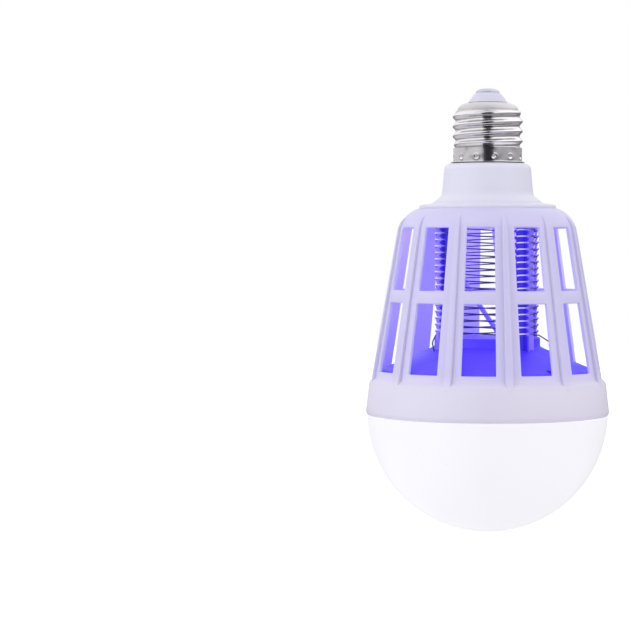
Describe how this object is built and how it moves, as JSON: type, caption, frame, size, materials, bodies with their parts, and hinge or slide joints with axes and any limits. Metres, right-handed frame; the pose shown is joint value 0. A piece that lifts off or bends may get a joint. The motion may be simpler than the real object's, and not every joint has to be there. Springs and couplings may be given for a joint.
{
  "type": "insect killer light bulb",
  "caption": "Screw-cap lamp with an opal dome of white light under a windowed cage, where wires wound round notched posts in violet light kill flying insects.",
  "frame": {"origin": "centre of the end contact's flat face at the top of the screw cap", "axes": "+Z along the bulb's axis, up out of the screw cap into the lampholder, so the dome hangs at the most negative Z. +X and +Y are square to it, and the camera of the picture looks along +Y, 4.2 degrees round toward +X"},
  "size_m": [0.0908, 0.0908, 0.1656],
  "materials": {
    "nickel": "polished nickel plate",
    "white_plastic": "satin moulded",
    "violet_lit_plastic": "satin moulded, seen in violet light",
    "opal_plastic": "opal diffuser, lit from inside",
    "grid_steel": "bright drawn wire",
    "board_white": "white lacquered board",
    "board_brown": "bare laminate",
    "led_phosphor": "phosphor over the chip",
    "led_ultraviolet": "clear over the chip",
    "black_plastic": "moulded",
    "yellow_tape": "wound tape",
    "film_red": "dipped",
    "ceramic_blue": "dipped",
    "lead_white": "wire insulation",
    "lead_red": "wire insulation",
    "screw_steel": "plain zinc plate"
  },
  "bodies": {
    "root": {"contact_rivet": "nickel", "cap_insulator": "white_plastic", "screw_shell": "nickel", "contact_lead": "lead_red", "shell_lead": "lead_white", "neck_housing": "white_plastic", "driver_board": "board_brown", "transformer": "yellow_tape", "bridge_rectifier": "black_plastic", "reservoir_capacitor": "black_plastic", "film_capacitor": "film_red", "hv_capacitor": "ceramic_blue", "line_choke": "black_plastic", "cage": "white_plastic", "grid_top_plate": "white_plastic", "grid_post_1": "violet_lit_plastic", "grid_post_2": "violet_lit_plastic", "grid_post_3": "violet_lit_plastic", "grid_post_4": "violet_lit_plastic", "live_grid_wire": "grid_steel", "return_grid_wire": "grid_steel", "led_lead_1": "lead_red", "led_lead_2": "lead_white", "uv_board": "board_white", "uv_led_1": "led_ultraviolet", "uv_led_2": "led_ultraviolet", "uv_led_3": "led_ultraviolet", "uv_led_4": "led_ultraviolet", "uv_led_5": "led_ultraviolet", "uv_led_6": "led_ultraviolet", "floor_tray": "violet_lit_plastic", "led_board": "board_white", "white_led_01": "led_phosphor", "white_led_02": "led_phosphor", "white_led_03": "led_phosphor", "white_led_04": "led_phosphor", "white_led_05": "led_phosphor", "white_led_06": "led_phosphor", "white_led_07": "led_phosphor", "white_led_08": "led_phosphor", "white_led_09": "led_phosphor", "white_led_10": "led_phosphor", "white_led_11": "led_phosphor", "white_led_12": "led_phosphor", "board_screw_1": "screw_steel", "board_screw_2": "screw_steel", "board_screw_3": "screw_steel", "opal_dome": "opal_plastic"}
  },
  "joints": []
}
